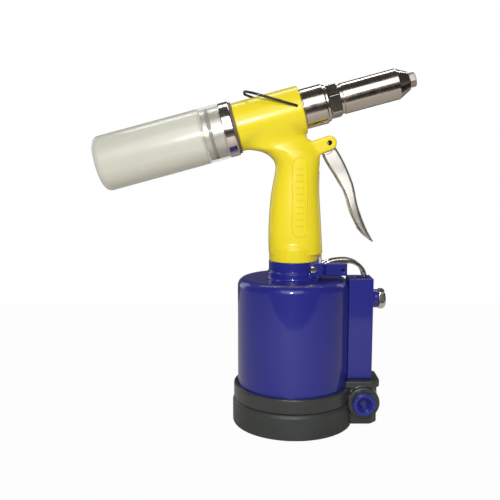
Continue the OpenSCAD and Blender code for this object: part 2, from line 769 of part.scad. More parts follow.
rubber_boot();
base_casting();
floor_bumper();
cylinder_gasket();
air_cylinder();
ram_gland();
ram_seal();
air_piston();
piston_seal();
ram_rod();
piston_nut();
grip_frame();
head_sleeve();
sleeve_seal();
sleeve_washer();
lock_nut();
nose_housing();
nosepiece();
oil_piston();
oil_piston_seal();
tail_tube();
jaw_case();
jaws();
jaw_pusher();
jaw_spring();
return_spring();
rear_gasket();
rear_cap();
collector_adapter();
bottle_oring();
collector_bottle();
hanger_wire();
trigger();
trigger_pin();
trigger_rod();
rod_nuts();
rocker_bracket();
bracket_screws();
rocker_lever();
rocker_pin();
valve_tube();
tube_screws();
tube_seal();
stem_gland();
valve_spool();
spool_seals();
valve_spring();
inlet_bushing();
valve_plug();
plug_seal();
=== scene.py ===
"""Looks of an air-over-oil blind rivet gun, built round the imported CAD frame.

Lengths are in millimetres until a mesh is made. x, y, z are the frame's axes; u runs along the
barrel's axis to the nose and v lies above it. Cast and machined pieces are fields, negative inside,
that skin() turns into meshes; turned pieces are profiles that turned() spins.
"""

import json
import math
from itertools import product

import bpy
import numpy as np
from mathutils import Matrix, Vector


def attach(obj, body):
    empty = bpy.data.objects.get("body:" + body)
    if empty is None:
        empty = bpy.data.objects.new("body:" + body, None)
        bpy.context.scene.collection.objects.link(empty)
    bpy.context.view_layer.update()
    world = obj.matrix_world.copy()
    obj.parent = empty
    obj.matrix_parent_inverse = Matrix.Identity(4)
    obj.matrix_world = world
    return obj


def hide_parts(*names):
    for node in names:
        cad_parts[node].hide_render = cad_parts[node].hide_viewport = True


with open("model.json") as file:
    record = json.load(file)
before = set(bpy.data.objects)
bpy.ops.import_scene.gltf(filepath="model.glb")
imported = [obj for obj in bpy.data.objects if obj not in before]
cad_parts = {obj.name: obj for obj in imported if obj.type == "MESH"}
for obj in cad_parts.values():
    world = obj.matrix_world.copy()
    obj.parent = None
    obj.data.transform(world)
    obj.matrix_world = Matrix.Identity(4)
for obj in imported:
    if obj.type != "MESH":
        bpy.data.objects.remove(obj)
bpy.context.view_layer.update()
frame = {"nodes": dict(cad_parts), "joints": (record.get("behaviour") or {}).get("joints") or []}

MM = 0.001
joints = {j["name"]: j for j in frame["joints"]}

# ---- places that the pieces share -------------------------------------------------

pull_axis = joints["pull_stroke"]["axis"]
TILT = math.atan2(-pull_axis[2], -pull_axis[0])
BARREL_Z = 276.0                       # height at which the barrel's axis crosses x = 0
ALONG = Vector((math.cos(TILT), 0, math.sin(TILT)))
TRIGGER_X, TRIGGER_Z = (joints["trigger_pull"]["pos_m"][i] / MM for i in (0, 2))
ROCKER_X, ROCKER_Z = (joints["rocker_tilt"]["pos_m"][i] / MM for i in (0, 2))

BOOT_R, BOOT_H = 54.0, 22.5
CAP_R, CAP_TOP = 53.0, 35.8
CYL_R, CYL_TOP = 49.4, 131.0
NECK_R, NECK_TOP = 21.7, 146.5
STEP_Z = 152.4
HEAD_R, HEAD_BACK, HEAD_FRONT = 21.0, -52.0, 6.5
BLOCK_TOP, TUBE_TOP = 40.6, 131.3
BOSS_X, BOSS_Z = 61.8, 21.8
VALVE_X, VALVE_BORE = 61.5, 7.4
INLET_Z = 111.8
LUG_X, LUG_Z = 16.3, 140.3
ROD_X, ROD_SLOPE = 23.2, -0.085        # the trigger rod's place at STEP_Z, and its lean


def rod_x(z):
    return ROD_X + ROD_SLOPE * (z - STEP_Z)


def barrel(x, z):
    """How far along the barrel's axis a point lies, and how far above it."""
    c, s = math.cos(TILT), math.sin(TILT)
    return x * c + (z - BARREL_Z) * s, (z - BARREL_Z) * c - x * s


# ---- fields -----------------------------------------------------------------------


def join(a, b, k):
    """Union of two fields with a fillet about k wide."""
    h = np.maximum(k - np.abs(a - b), 0) / k
    return np.minimum(a, b) - h * h * k / 4


def meet(a, b, k):
    """Where both fields hold, with its edges rounded over about k."""
    return -join(-a, -b, k)


def cut(a, b, k):
    """The first field without the second."""
    return meet(a, -b, k)


def band(t, low, high):
    return np.abs(t - (low + high) / 2) - (high - low) / 2


def fade(t, low, high):
    """0 at low, 1 at high, smooth between."""
    s = np.clip((t - low) / (high - low), 0, 1)
    return s * s * (3 - 2 * s)


def disc(a, b, r):
    return np.hypot(a, b) - r


def capsule(a, b, start, end, r0, r1):
    """A round-ended bar in a plane, whose radius goes from r0 to r1."""
    da, db = end[0] - start[0], end[1] - start[1]
    t = np.clip(((a - start[0]) * da + (b - start[1]) * db) / (da * da + db * db), 0, 1)
    return np.hypot(a - start[0] - t * da, b - start[1] - t * db) - (r0 + (r1 - r0) * t)


def hexagon(a, b, flats, turn):
    """A hexagon prism's field; turn is in degrees, and at 0 a corner points along a."""
    sides = [math.radians(turn + 30 + 60 * k) for k in range(3)]
    return np.maximum.reduce([np.abs(a * math.cos(t) + b * math.sin(t)) for t in sides]) - flats / 2


def outline(a, b, points):
    """Signed distance to a closed outline in a plane, negative inside."""
    nearest, inside = None, False
    for (x0, z0), (x1, z1) in zip(points, points[1:] + points[:1]):
        dx, dz = x1 - x0, z1 - z0
        t = np.clip(((a - x0) * dx + (b - z0) * dz) / max(dx * dx + dz * dz, 1e-12), 0, 1)
        d = np.hypot(a - x0 - t * dx, b - z0 - t * dz)
        nearest = d if nearest is None else np.minimum(nearest, d)
        if z0 != z1:
            crosses = ((b < z0) != (b < z1)) & (a < x0 + (b - z0) * dx / dz)
            inside = inside ^ crosses
    return np.where(inside, -nearest, nearest)


def arc(cx, cz, r, a0, a1, n):
    """Points of an arc in n steps, from a0 to a1 degrees."""
    angles = [math.radians(a0 + (a1 - a0) * i / n) for i in range(n + 1)]
    return [(cx + r * math.cos(a), cz + r * math.sin(a)) for a in angles]


def curve(points, n=4):
    """A smooth curve through the points, n steps between each pair."""
    p = [np.array(q, float) for q in points]
    p = [p[0], *p, p[-1]]
    made = []
    for a, b, c, d in zip(p, p[1:], p[2:], p[3:]):
        for t in np.arange(n) / n:
            bend = (2 * a - 5 * b + 4 * c - d) * t * t + (3 * b - a - 3 * c + d) * t ** 3
            made.append(tuple(0.5 * (2 * b + (c - a) * t + bend)))
    return made + [tuple(p[-1])]


# ---- meshes -----------------------------------------------------------------------
# A shape is (points, faces, normals): arrays in millimetres, and a list of tuples.


def slope(field, p):
    """The field's gradient at points p."""
    reach = 0.02
    return np.stack([field(*(p + d).T) - field(*(p - d).T) for d in np.eye(3) * reach], 1) / (2 * reach)


def skin(field, low, high, step):
    """The surface where the field is 0, as quads about step wide, drawn onto it exactly."""
    # the grid starts an odd share of a step outside the box, so that flat faces miss its planes
    axes = [np.arange(a - 1.37 * step, b + 2.4 * step, step) for a, b in zip(low, high)]
    x, y, z = np.meshgrid(*axes, indexing="ij", sparse=True)
    value = np.broadcast_to(field(x, y, z), [len(a) for a in axes])
    inside = value < 0
    cells = tuple(n - 1 for n in value.shape)
    count = np.zeros(cells, np.int8)
    for i, j, k in product((0, 1), repeat=3):
        count += inside[i:i + cells[0], j:j + cells[1], k:k + cells[2]]
    cell = np.argwhere((count > 0) & (count < 8))
    index = np.full(cells, -1, np.int64)
    index[tuple(cell.T)] = np.arange(len(cell))
    total, hits = np.zeros((len(cell), 3)), np.zeros(len(cell))
    for axis, i, j in product(range(3), (0, 1), (0, 1)):
        start = cell.copy()
        start[:, (axis + 1) % 3] += i
        start[:, (axis + 2) % 3] += j
        end = start.copy()
        end[:, axis] += 1
        a, b = value[tuple(start.T)], value[tuple(end.T)]
        crossed = (a < 0) != (b < 0)
        point = start.astype(float)
        point[:, axis] += np.where(crossed, a / np.where(crossed, a - b, 1), 0)
        total += point * crossed[:, None]
        hits += crossed
    p = total / hits[:, None] * step + [a[0] for a in axes]
    faces = []
    for axis in range(3):
        one, two = (axis + 1) % 3, (axis + 2) % 3
        ends = [slice(None)] * 3
        ends[axis] = slice(0, -1)
        shifted = [slice(None)] * 3
        shifted[axis] = slice(1, None)
        edge = np.argwhere(inside[tuple(ends)] != inside[tuple(shifted)])
        quad = []
        for i, j in ((-1, -1), (0, -1), (0, 0), (-1, 0)):
            c = edge.copy()
            c[:, one] += i
            c[:, two] += j
            quad.append(index[tuple(c.T)])
        quad = np.stack(quad, 1)
        back = ~inside[tuple(edge.T)]
        quad[back] = quad[back][:, ::-1]
        faces.append(quad)
    for _ in range(5):
        g = slope(field, p)
        steepness = np.maximum((g * g).sum(1), 0.2)[:, None]
        move = field(*p.T)[:, None] * g / steepness
        p = p - np.clip(move, -step / 2, step / 2)
    g = slope(field, p)
    return p, np.concatenate(faces).tolist(), g / np.maximum(np.linalg.norm(g, axis=1), 1e-9)[:, None]


def rounded(profile, steps):
    """Points and outward normals of a closed profile of (r, u, fillet), each corner an arc."""
    straight = 0.02                    # a corner that turns less than this, in radians, stays as it is
    at = [np.array(p[:2], float) for p in profile]
    area = sum(a[0] * b[1] - b[0] * a[1] for a, b in zip(at, at[1:] + at[:1]))
    if area < 0:
        return rounded(profile[::-1], steps)
    made = []
    for i, (r, u, fillet) in enumerate(profile):
        before, here, after = at[i - 1], at[i], at[(i + 1) % len(at)]
        if r < 1e-6:
            made.append((here, np.array([0.0, 1.0 if here[1] > min(before[1], after[1]) else -1.0])))
            continue
        din, dout = here - before, after - here
        din, dout = din / np.linalg.norm(din), dout / np.linalg.norm(dout)
        first, last = np.array([din[1], -din[0]]), np.array([dout[1], -dout[0]])
        turn = math.atan2(din[0] * dout[1] - din[1] * dout[0], float(din @ dout))
        if abs(turn) < straight:
            made.append((here, first))
            continue
        trim = fillet * math.tan(abs(turn) / 2)
        centre = here - din * trim - first * fillet * math.copysign(1, turn)
        for k in range(steps + 1):
            a = turn * k / steps
            c, s = math.cos(a), math.sin(a)
            n = np.array([first[0] * c - first[1] * s, first[0] * s + first[1] * c])
            made.append((centre + n * fillet * math.copysign(1, turn), n))
    return made


def turned(profile, segments=112, steps=4):
    """A profile of (r, u, fillet) spun round local Z. A point at r = 0 is a pole."""
    rows = rounded(profile, steps)
    points, normals, ring = [], [], []
    for (r, u), (nr, nu) in rows:
        ring.append((len(points), r < 1e-6))
        for k in range(1 if r < 1e-6 else segments):
            a = math.tau * k / segments
            points.append((r * math.cos(a), r * math.sin(a), u))
            normals.append((nr * math.cos(a), nr * math.sin(a), nu))
    faces = []
    for (a, a_pole), (b, b_pole) in zip(ring, ring[1:] + ring[:1]):
        for k in range(segments):
            n = (k + 1) % segments
            if a_pole and b_pole:
                break
            if a_pole:
                faces.append((a, b + n, b + k))
            elif b_pole:
                faces.append((a + k, a + n, b))
            else:
                faces.append((a + k, a + n, b + n, b + k))
    return np.array(points), faces, np.array(normals)


def tube(path, radius, sides=14, closed=False):
    """A round bar swept along a path, with its ends domed."""
    p = np.array(path, float)
    ahead = (np.roll(p, -1, 0) - np.roll(p, 1, 0)) if closed else np.gradient(p, axis=0)
    ahead /= np.linalg.norm(ahead, axis=1)[:, None]
    side = np.cross(ahead[0], (0.0, 1.0, 0.1))
    side /= np.linalg.norm(side)
    rings = []
    for here, way in zip(p, ahead):
        side = side - way * (side @ way)
        side /= np.linalg.norm(side)
        rings.append((here, side, np.cross(way, side), radius, way * 0))
    if not closed:
        domes = [(math.cos(t), math.sin(t)) for t in np.linspace(0.35, math.pi / 2 - 0.02, 5)]
        first, last = rings[0], rings[-1]
        near = [(first[0] - ahead[0] * radius * s, *first[1:3], radius * c, -ahead[0] * s) for c, s in domes]
        far = [(last[0] + ahead[-1] * radius * s, *last[1:3], radius * c, ahead[-1] * s) for c, s in domes]
        rings = near[::-1] + rings + far
    angles = [math.tau * k / sides for k in range(sides)]
    points, normals = [], []
    for centre, one, two, r, lean in rings:
        for a in angles:
            out = one * math.cos(a) + two * math.sin(a)
            points.append(centre + out * r)
            normals.append(out * (r / radius) + lean)
    count = len(rings)
    faces = []
    for i in range(count if closed else count - 1):
        for k in range(sides):
            n, j = (k + 1) % sides, (i + 1) % count
            faces.append((i * sides + k, i * sides + n, j * sides + n, j * sides + k))
    if not closed:
        faces.append(tuple(range(sides))[::-1])
        faces.append(tuple((count - 1) * sides + k for k in range(sides)))
    normals = np.array(normals)
    return np.array(points), faces, normals / np.linalg.norm(normals, axis=1)[:, None]


def moved(shape, matrix):
    p, faces, n = shape
    m = np.array(matrix)
    return p @ m[:3, :3].T + m[:3, 3], faces, n @ m[:3, :3].T


def on_barrel(shape):
    """A turned shape moved onto the barrel: its local Z runs to the nose, its -X points up."""
    place = Matrix.Translation((0, 0, BARREL_Z)) @ Matrix.Rotation(math.pi / 2 - TILT, 4, "Y")
    return moved(shape, place)


def facing(shape, place, way):
    """A turned shape whose local Z points along way, from place."""
    turn = Vector((0, 0, 1)).rotation_difference(Vector(way)).to_matrix().to_4x4()
    return moved(shape, Matrix.Translation(place) @ turn)


def piece(name, shapes, finish, slot, body, *nodes):
    """One visible piece, made of shapes, that stands for the CAD nodes and moves with the body."""
    points, faces, normals, base = [], [], [], 0
    for p, f, n in shapes:
        points.append(p)
        normals.append(n)
        faces += [tuple(base + i for i in face) for face in f]
        base += len(p)
    mesh = bpy.data.meshes.new(name)
    mesh.from_pydata((np.concatenate(points) * MM).tolist(), [], faces)
    mesh.polygons.foreach_set("use_smooth", [True] * len(faces))
    mesh.normals_split_custom_set_from_vertices(np.concatenate(normals).tolist())
    mesh.update()
    obj = bpy.data.objects.new(name, mesh)
    bpy.context.scene.collection.objects.link(obj)
    mesh.materials.append(finish)
    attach(obj, body)
    if nodes:
        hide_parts(*nodes)
    return obj


# ---- materials --------------------------------------------------------------------

GROOVE_PITCH, GROOVE_DEPTH = 0.6, 0.003


def finish(name, colour, rough, metal=0.0, coat=0.0, tint=0.05, patch=30.0, grain=0.5, bump=0.004,
           vary=0.05, turning=False, coat_rough=0.06, specular=0.5):
    """A procedural finish. patch is the size of its colour patches and grain that of its bumps, in
    millimetres; turning adds the fine marks of a lathe, which run round the barrel."""
    mat = bpy.data.materials.new(name)
    mat.use_nodes = True
    nt = mat.node_tree
    shader = nt.nodes["Principled BSDF"]
    shader.inputs["Metallic"].default_value = metal
    shader.inputs["Coat Weight"].default_value = coat
    shader.inputs["Coat Roughness"].default_value = coat_rough
    shader.inputs["Specular IOR Level"].default_value = specular
    place = nt.nodes.new("ShaderNodeTexCoord").outputs["Object"]

    def noise(size, detail=3.0, where=place):
        node = nt.nodes.new("ShaderNodeTexNoise")
        node.inputs["Scale"].default_value = 1000.0 / size
        node.inputs["Detail"].default_value = detail
        nt.links.new(where, node.inputs["Vector"])
        return node.outputs["Fac"]

    def spread(value, low, high):
        node = nt.nodes.new("ShaderNodeMapRange")
        node.inputs["From Min"].default_value = 0.3
        node.inputs["From Max"].default_value = 0.7
        node.inputs["To Min"].default_value = low
        node.inputs["To Max"].default_value = high
        nt.links.new(value, node.inputs["Value"])
        return node.outputs["Result"]

    mix = nt.nodes.new("ShaderNodeMix")
    mix.data_type = "RGBA"
    mix.inputs["A"].default_value = (*[c * (1 - tint) for c in colour], 1)
    mix.inputs["B"].default_value = (*[min(c * (1 + tint), 1) for c in colour], 1)
    nt.links.new(spread(noise(patch), 0, 1), mix.inputs["Factor"])
    nt.links.new(mix.outputs["Result"], shader.inputs["Base Color"])
    nt.links.new(spread(noise(patch / 4, 5.0), rough - vary, rough + vary), shader.inputs["Roughness"])

    raised = nt.nodes.new("ShaderNodeBump")
    raised.inputs["Distance"].default_value = bump * MM
    nt.links.new(noise(grain), raised.inputs["Height"])
    if turning:
        turn = nt.nodes.new("ShaderNodeMapping")
        turn.vector_type = "POINT"
        turn.inputs["Rotation"].default_value = (0, TILT - math.pi / 2, 0)
        squeeze = nt.nodes.new("ShaderNodeMapping")
        squeeze.inputs["Scale"].default_value = (0.02, 0.02, 1)
        nt.links.new(place, turn.inputs["Vector"])
        nt.links.new(turn.outputs["Vector"], squeeze.inputs["Vector"])
        grooves = nt.nodes.new("ShaderNodeBump")
        grooves.inputs["Distance"].default_value = GROOVE_DEPTH * MM
        nt.links.new(noise(GROOVE_PITCH, 2.0, squeeze.outputs["Vector"]), grooves.inputs["Height"])
        nt.links.new(raised.outputs["Normal"], grooves.inputs["Normal"])
        raised = grooves
    nt.links.new(raised.outputs["Normal"], shader.inputs["Normal"])
    return mat


def bottle_finish():
    """Milky plastic that thins out towards the mouth, where the adapter shows through the wall."""
    mat = finish("milky_plastic", (0.80, 0.80, 0.70), 0.24, coat=0.6, tint=0.03, patch=60, grain=6,
                 bump=0.01, vary=0.04, coat_rough=0.16)
    nt = mat.node_tree
    cloudy, clear = 0.70, 0.20
    thins_from, thins_to = -84, -79    # places along the barrel
    where = nt.nodes.new("ShaderNodeVectorMath")
    where.operation = "DOT_PRODUCT"
    where.inputs[1].default_value = ALONG
    nt.links.new(nt.nodes.new("ShaderNodeTexCoord").outputs["Object"], where.inputs[0])
    thin = nt.nodes.new("ShaderNodeMapRange")
    thin.interpolation_type = "SMOOTHSTEP"
    base = BARREL_Z * ALONG.z          # the barrel's origin along its own axis
    thin.inputs["From Min"].default_value = (base + thins_from) * MM
    thin.inputs["From Max"].default_value = (base + thins_to) * MM
    thin.inputs["To Min"].default_value = cloudy
    thin.inputs["To Max"].default_value = clear
    nt.links.new(where.outputs["Value"], thin.inputs["Value"])
    nt.links.new(thin.outputs["Result"], nt.nodes["Principled BSDF"].inputs["Alpha"])
    return mat


YELLOW = finish("yellow_enamel", (0.88, 0.72, 0.025), 0.34, coat=0.32, tint=0.02, grain=3.5,
                bump=0.008, vary=0.02, coat_rough=0.19, specular=0.25)
BLUE = finish("blue_enamel", (0.018, 0.021, 0.235), 0.34, coat=0.75, tint=0.05, grain=4.0,
              bump=0.008, vary=0.02, coat_rough=0.07, specular=0.2)
CASTING = finish("black_enamel", (0.034, 0.038, 0.037), 0.36, coat=0.15, tint=0.12, grain=0.8, bump=0.012)
RUBBER = finish("boot_rubber", (0.036, 0.041, 0.040), 0.5, tint=0.10, grain=0.35, bump=0.015)
SEAL = finish("seal_rubber", (0.025, 0.025, 0.026), 0.5, tint=0.10, grain=0.4, bump=0.01)
GASKET = finish("fibre_gasket", (0.14, 0.10, 0.085), 0.6, tint=0.15, grain=0.4, bump=0.01)
NICKEL = finish("nickel_plate", (0.62, 0.56, 0.51), 0.17, metal=1, tint=0.05, grain=0.5, bump=0.002,
                turning=True)
COLLAR = finish("bright_nickel", (0.80, 0.74, 0.73), 0.15, metal=1, grain=0.6, bump=0.003, turning=True)
POLISHED = finish("polished_steel", (0.78, 0.74, 0.70), 0.15, metal=1, grain=0.6, bump=0.003)
# Painted reflection: the polished rod gets a pale, half-metallic colour so it shows bright, as a bright
# reflection would make it.
ROD_PAINTED_REFLECTION = finish("rod_painted_reflection", (0.92, 0.90, 0.87), 0.38, metal=0.6, tint=0.02, grain=0.8, bump=0.003)
STEEL = finish("plain_steel", (0.46, 0.42, 0.38), 0.30, metal=1, tint=0.08, grain=0.4, bump=0.004)
LEVER = finish("satin_alloy", (0.70, 0.67, 0.63), 0.36, metal=1, tint=0.03, patch=25, grain=0.8,
               bump=0.003, vary=0.02)
ALLOY = finish("turned_alloy", (0.86, 0.86, 0.84), 0.28, metal=1, grain=0.4, bump=0.003, turning=True)
BRASS = finish("brass", (0.70, 0.52, 0.22), 0.25, metal=1, tint=0.08, grain=0.4, bump=0.003)
WIRE = finish("dark_wire", (0.024, 0.012, 0.008), 0.32, coat=0.3, tint=0.15, patch=8, grain=0.5,
              bump=0.004, coat_rough=0.1, specular=0.2)
# Painted shade: the steel roll pins are coloured near black, standing in for the shadow inside their holes.
PAINTED_PIN_SHADE = finish("pin_painted_shade", (0.012, 0.011, 0.010), 0.7, grain=0.5)
BOTTLE = bottle_finish()

# ---- base and air cylinder --------------------------------------------------------


def boot(x, y, z):
    rho = np.hypot(x, y)
    lip = BOOT_R - 0.62 * np.maximum(z - BOOT_H + 3.2, 0)
    body = meet(rho - lip, band(z, 0, BOOT_H), 1.5)
    body = cut(body, meet(rho - 50.1, 3 - z, 0.5), 0.6)
    body = cut(body, meet(np.abs(y) - 18.4, 44.5 - x, 0.8), 0.8)
    return cut(body, np.maximum(disc(x - BOSS_X, z - BOSS_Z, 14.5), y + 11), 0.6)


def block(x, y, z, reach, half, low, high):
    """A tier of the valve block: a box whose two far corners are cut off."""
    corner = (x + np.abs(y) - (reach + half - 6.5)) * math.sqrt(0.5)
    plan = meet(meet(x - reach, np.abs(y) - half, 0.8), corner, 1.2)
    return meet(np.maximum(plan, 38 - x), band(z, low, high), 1.1)


def base(x, y, z):
    rho = np.hypot(x, y)
    ring = meet(rho - CAP_R, band(z, BOOT_H + 0.3, CAP_TOP), 1.3)
    skirt = np.maximum(rho - 49.8, band(z, 3.2, 24))
    body = np.minimum(ring, skirt)
    body = join(body, block(x, y, z, 75, 18, 1.2, 35), 1.6)
    body = join(body, block(x, y, z, 77, 19, 34, BLOCK_TOP), 0.5)
    boss = meet(disc(x - BOSS_X, z - BOSS_Z, 14.2), np.abs(y + 13.1) - 9.1, 1.4)
    body = join(body, boss, 1.2)
    body = cut(body, np.maximum(rho - CYL_R - 0.05, 27 - z), 0.8)
    body = cut(body, np.maximum(rho - 45, z - 20), 0.5)
    relief = np.maximum(np.maximum(np.abs(x - 40.9) - 3.9, np.abs(y) - 20), z - 3.3)
    body = cut(body, np.maximum(relief, -z - 1), 0.3)
    body = cut(body, np.maximum(disc(x - VALVE_X, y, VALVE_BORE), 16 - z), 0.3)
    return cut(body, np.maximum(disc(x - BOSS_X, z - BOSS_Z, 8.1), y + 17), 0.3)


def neck(x, y, z):
    """The cylinder's neck with its flange, and the two flats that carry the rocker's bracket."""
    rho = np.hypot(x, y)
    fillet = 1.6
    rise = np.clip(z - CYL_TOP, 0, fillet)
    flare = fillet - np.sqrt(np.maximum(fillet ** 2 - (fillet - rise) ** 2, 0))
    ledge = meet(rho - 23 - flare, band(z, CYL_TOP - 4, 137.4), 1.4)
    body = join(ledge, meet(rho - NECK_R, band(z, CYL_TOP - 4, NECK_TOP), 0.5), 0.9)
    pads = meet(meet(band(x, 8, 20.5), np.abs(y) - 15.1, 1.0), band(z, CYL_TOP - 3, NECK_TOP), 0.8)
    body = join(body, pads, 0.8)
    seats = np.maximum(np.maximum(11.4 - x, 15.1 - np.abs(y)), 133.4 - z)
    body = cut(body, seats, 0.4)
    return cut(body, meet(meet(19.2 - x, np.abs(y) - 6, 0.8), CYL_TOP - z, 0.3), 0.6)


def make_base():
    sole = skin(boot, (-BOOT_R, -BOOT_R, 0), (BOOT_R, BOOT_R, BOOT_H), 1.05)
    piece("boot", [sole], RUBBER, "boot_rubber", "frame", "rubber_boot")
    casting = skin(base, (-CAP_R, -CAP_R, 1), (77, CAP_R, 41), 1.0)
    piece("base", [casting], CASTING, "black_casting", "frame", "base_casting")
    shell = turned([(44, 28, 0.3), (CYL_R, 28, 0.3), (CYL_R, CYL_TOP, 7.0), (13.05, CYL_TOP, 0.3),
                    (13.05, 123, 0.3), (44, 123, 1.0)], 192, 14)
    top = skin(neck, (-25, -25, CYL_TOP - 4), (25, 25, NECK_TOP), 0.6)
    piece("air_cylinder_shell", [shell, top], BLUE, "blue_paint", "frame", "air_cylinder")


# ---- valve tube, inlet and plug ---------------------------------------------------


def valve_body(x, y, z):
    plan = meet(meet(x - 70.2, np.abs(y) - 11.7, 1.5), 40 - x, 0.5)
    plan = cut(plan, np.hypot(x, y) - CYL_R - 0.1, 1.5)
    body = meet(plan, band(z, BLOCK_TOP, TUBE_TOP), 1.0)
    side = meet(disc(y, z - INLET_Z, 8.2), band(x, 60, 75.6), 0.8)
    body = join(body, side, 1.8)
    body = cut(body, np.maximum(disc(x - VALVE_X, y, VALVE_BORE), band(z, 39, 121)), 0.3)
    body = cut(body, np.maximum(disc(x - VALVE_X, y, 6.3), 120 - z), 1.0)
    return cut(body, np.maximum(disc(y, z - INLET_Z, 7.0), 66 - x), 0.3)


def inlet(x, y, z):
    """The hexagon bushing, with turned-off corners and a pipe thread in its bore."""
    h = z - INLET_Z
    rho = np.hypot(y, h)
    crown = rho - 9.5 + 0.9 * np.maximum(x - 79.6, 0) + 0.7 * np.maximum(77.2 - x, 0)
    head = meet(meet(hexagon(y, h, 16, 18), crown, 0.5), band(x, 75.6, 82), 0.8)
    body = np.minimum(head, np.maximum(rho - 7, band(x, 69, 76)))
    pitch, depth = 1.34, 0.55
    turns = (x - 71) / pitch + np.arctan2(h, y) / math.tau
    thread = depth * np.abs(2 * (turns - np.floor(turns)) - 1)
    bore = np.maximum(rho - 5.9 - thread + 0.35 - 1.1 * np.maximum(x - 81, 0), 71 - x)
    return cut(cut(body, bore, 0.2), rho - 4, 0.2)


def plug(x, y, z):
    a, b = x - BOSS_X, z - BOSS_Z
    rho = np.hypot(a, b)
    head = meet(rho - 10.3, band(y, -27.2, -23.7), 1.5)
    body = np.minimum(head, np.maximum(rho - 8, band(y, -24, -11.5)))
    funnel = rho - 6.6 + 1.15 * np.maximum(y + 26.6, 0)
    body = cut(body, np.maximum(funnel, y + 24.4), 0.7)
    return cut(body, np.maximum(hexagon(a, b, 8.4, 20), y + 18), 0.5)


def make_valve():
    tower = skin(valve_body, (40, -12, 40), (76, 12, 132), 0.8)
    piece("valve_body", [tower], BLUE, "blue_paint", "frame", "valve_tube")
    bushing = skin(inlet, (69, -10, INLET_Z - 10), (82, 10, INLET_Z + 10), 0.3)
    piece("inlet_hexagon", [bushing], POLISHED, "nickel_steel", "frame", "inlet_bushing")
    cap = skin(plug, (BOSS_X - 11, -27.5, BOSS_Z - 11), (BOSS_X + 11, -11, BOSS_Z + 11), 0.4)
    piece("socket_plug", [cap], BLUE, "blue_paint", "frame", "valve_plug")


# ---- grip and head ----------------------------------------------------------------

# height, back, front and half width of the grip's oval sections
GRIP = [(152.4, -21.9, 25.6, 19.2), (170, -22.2, 24.6, 18.8), (190, -21.4, 23.3, 18),
        (207, -19.7, 22.2, 17.2), (222, -17, 22.2, 16.8), (230, -16.3, 22.8, 16.8),
        (236, -19.4, 23, 16.8), (241, -26.5, 21.5, 16.4), (245, -38, 19, 15.8),
        (251, -40, 15.4, 15), (256, -38, 10.4, 14), (263, -36, 9, 12)]
GRIP_ROWS = np.array(curve(GRIP, 12))
OVAL_POWER = 2.33                      # 2 would be an ellipse
SLOT_HALF, EAR_HALF = 6.5, 10.0
HINGE_U, HINGE_V = 1.4, 3.5            # the hanger wire's hinge


def grip_oval(x, y, z):
    back, front, half = (np.interp(z, GRIP_ROWS[:, 0], GRIP_ROWS[:, k]) for k in (1, 2, 3))
    middle, reach = (front + back) / 2, (front - back) / 2
    along, across = np.abs((x - middle) / reach), np.abs(y / half)
    share = (along ** OVAL_POWER + across ** OVAL_POWER) ** (1 / OVAL_POWER)
    return np.hypot(x - middle, y) * (1 - 1 / np.maximum(share, 1e-3))


def grip_outside(x, y, z):
    """The casting's outer form, before anything is cut from it."""
    u, v = barrel(x, z)
    head = meet(np.hypot(v, y) - HEAD_R, band(u, HEAD_BACK, HEAD_FRONT), 1.3)
    handle = meet(grip_oval(x, y, z), band(z, STEP_Z, 263), 1.8)
    body = join(handle, head, 2.5 + 6.5 * fade(-x, -9, 4))
    collar = np.hypot(x, y) - 21.4 + 0.48 * np.maximum(z - 157.5, 0)
    body = join(body, meet(collar, band(z, NECK_TOP, 168), 0.6), 0.7)
    ear = capsule(x, z, (13.5, 243), (TRIGGER_X, TRIGGER_Z), 6.6, 6.2)
    return join(body, meet(ear, np.abs(y) - EAR_HALF, 2.2), 3.6)


def grip(x, y, z):
    body = grip_outside(x, y, z)
    u, v = barrel(x, z)
    slot = np.maximum(np.maximum(np.abs(y) - SLOT_HALF, 10.8 - x), band(z, 232, 257))
    lower = np.maximum(np.maximum(np.abs(y) - SLOT_HALF, 20.5 - x), band(z, 225, 245))
    body = cut(body, join(slot, lower, 0.6), 0.9)
    body = cut(body, np.maximum(np.hypot(x - rod_x(z), y) - 2.1, z - 238), 0.4)
    body = cut(body, disc(x - TRIGGER_X, z - TRIGGER_Z, 2.0), 0.5)
    body = cut(body, np.maximum(disc(u - HINGE_U, v - HINGE_V, 1.15), 18 - np.abs(y)), 0.4)
    return cut(body, np.maximum(np.hypot(v, y) - 16, np.abs(u + 20) - 40), 0.5)


def on_grip(x, z):
    """The y of the grip's surface on the camera's side at x, z."""
    near, far = -26.0, -6.0
    for _ in range(30):
        y = (near + far) / 2
        if grip_outside(np.array(x), np.array(y), np.array(z)) > 0:
            near = y
        else:
            far = y
    return near


def grip_panel():
    """The raised rim on the grip's flank, and plain ribs in it where the real one is lettered."""
    left, right, low, high = -2.3, 10.1, 169.0, 237.0
    rim_r, rib_r, sunk = 0.65, 0.62, 0.05
    ribs, first_rib, pitch, rib_half = 10, low + 9.5, 5.45, 2.9
    r = (right - left) / 2
    middle = (left + right) / 2
    heights = np.linspace(low + r, high - r, 40)
    loop = [(right, z) for z in heights] + arc(middle, high - r, r, 0, 180, 18)[1:]
    loop += [(left, z) for z in heights[::-1]][1:] + arc(middle, low + r, r, 180, 360, 18)[1:-1]
    shapes = [tube([(x, on_grip(x, z) + sunk, z) for x, z in loop], rim_r, closed=True)]
    for k in range(ribs):
        z = first_rib + k * pitch
        row = [(x, on_grip(x, z) + sunk, z) for x in np.linspace(middle - rib_half, middle + rib_half, 7)]
        shapes.append(tube(row, rib_r, 10))
    return shapes


def make_grip():
    casting = skin(grip, (-57, -22, 146), (37, 22, 298), 0.62)
    piece("grip_casting", [casting, *grip_panel()], YELLOW, "yellow_paint", "frame", "grip_frame")


# ---- nose -------------------------------------------------------------------------


